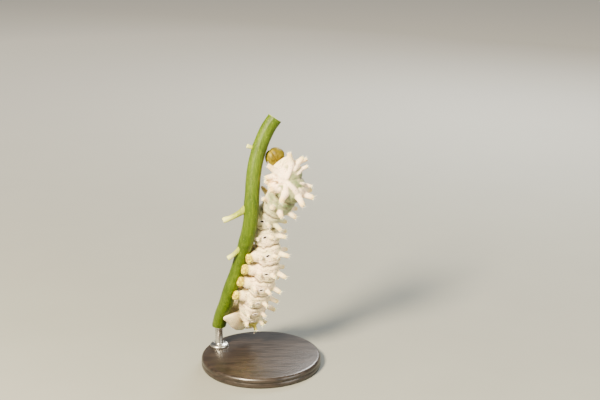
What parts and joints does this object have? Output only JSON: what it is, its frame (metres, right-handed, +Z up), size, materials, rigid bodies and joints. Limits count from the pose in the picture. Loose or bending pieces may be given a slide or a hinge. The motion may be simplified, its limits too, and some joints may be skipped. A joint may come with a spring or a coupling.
{
  "type": "eri silkworm larva model",
  "caption": "White, tubercled silk moth larva clinging head up to a cut leaf stalk, as a still display model on a round stand.",
  "frame": {"origin": "centre of the round stand's underside, on the floor", "axes": "+Z up, along the larva from tail to head; the larva's left flank faces -Y and its back is turned towards +X"},
  "size_m": [0.046, 0.046, 0.1001],
  "materials": {
    "larva_skin": "soft cream-white skin under a dusting of white wax",
    "larva_head": "smooth ochre-yellow head shell",
    "larva_legs": "ochre-yellow true legs with brown claws",
    "larva_prolegs": "yellow fleshy false legs",
    "leaf_stalk": "yellow-green ribbed leaf stalk",
    "cut_veins": "pale green cut side veins",
    "stand_base": "black-stained turned wood, satin lacquer",
    "stand_rod": "turned steel rod"
  },
  "bodies": {
    "root": {"abdomen_1": "larva_skin", "abdomen_2": "larva_skin", "abdomen_3": "larva_skin", "abdomen_4": "larva_skin", "abdomen_5": "larva_skin", "abdomen_6": "larva_skin", "abdomen_7": "larva_skin", "abdomen_8": "larva_skin", "abdomen_9": "larva_skin", "anal_clasper_left": "larva_skin", "anal_clasper_right": "larva_skin", "anal_segment": "larva_skin", "head": "larva_head", "leg_1_left": "larva_legs", "leg_1_right": "larva_legs", "leg_2_left": "larva_legs", "leg_2_right": "larva_legs", "leg_3_left": "larva_legs", "leg_3_right": "larva_legs", "perch_stem": "leaf_stalk", "perch_stub_1": "cut_veins", "perch_stub_2": "cut_veins", "perch_stub_3": "cut_veins", "proleg_3_left": "larva_prolegs", "proleg_3_right": "larva_prolegs", "proleg_4_left": "larva_prolegs", "proleg_4_right": "larva_prolegs", "proleg_5_left": "larva_prolegs", "proleg_5_right": "larva_prolegs", "proleg_6_left": "larva_prolegs", "proleg_6_right": "larva_prolegs", "stand_base": "stand_base", "stand_rod": "stand_rod", "thorax_1": "larva_skin", "thorax_2": "larva_skin", "thorax_3": "larva_skin"}
  },
  "joints": []
}
